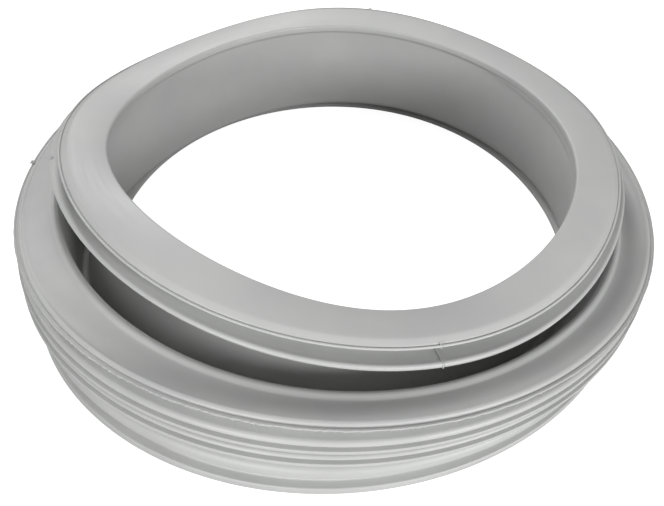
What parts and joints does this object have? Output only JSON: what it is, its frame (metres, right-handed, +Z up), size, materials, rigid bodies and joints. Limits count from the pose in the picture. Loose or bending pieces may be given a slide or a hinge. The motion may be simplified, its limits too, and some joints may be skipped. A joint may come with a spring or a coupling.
{
  "type": "washing machine door seal",
  "caption": "Round moulded rubber door seal with a grooved front lip, a folded neck and a ribbed lower collar, lying on its bottom flange",
  "frame": {"origin": "middle of the box of the seal, on the plane its bottom flange lies on", "axes": "+Z up through the door opening, -Y the side nearest the viewer in the picture, +X to the viewer's right"},
  "size_m": [0.4048, 0.404, 0.1117],
  "materials": {
    "moulded_rubber": "satin"
  },
  "bodies": {
    "root": {"door_seal": "moulded_rubber"}
  },
  "joints": []
}
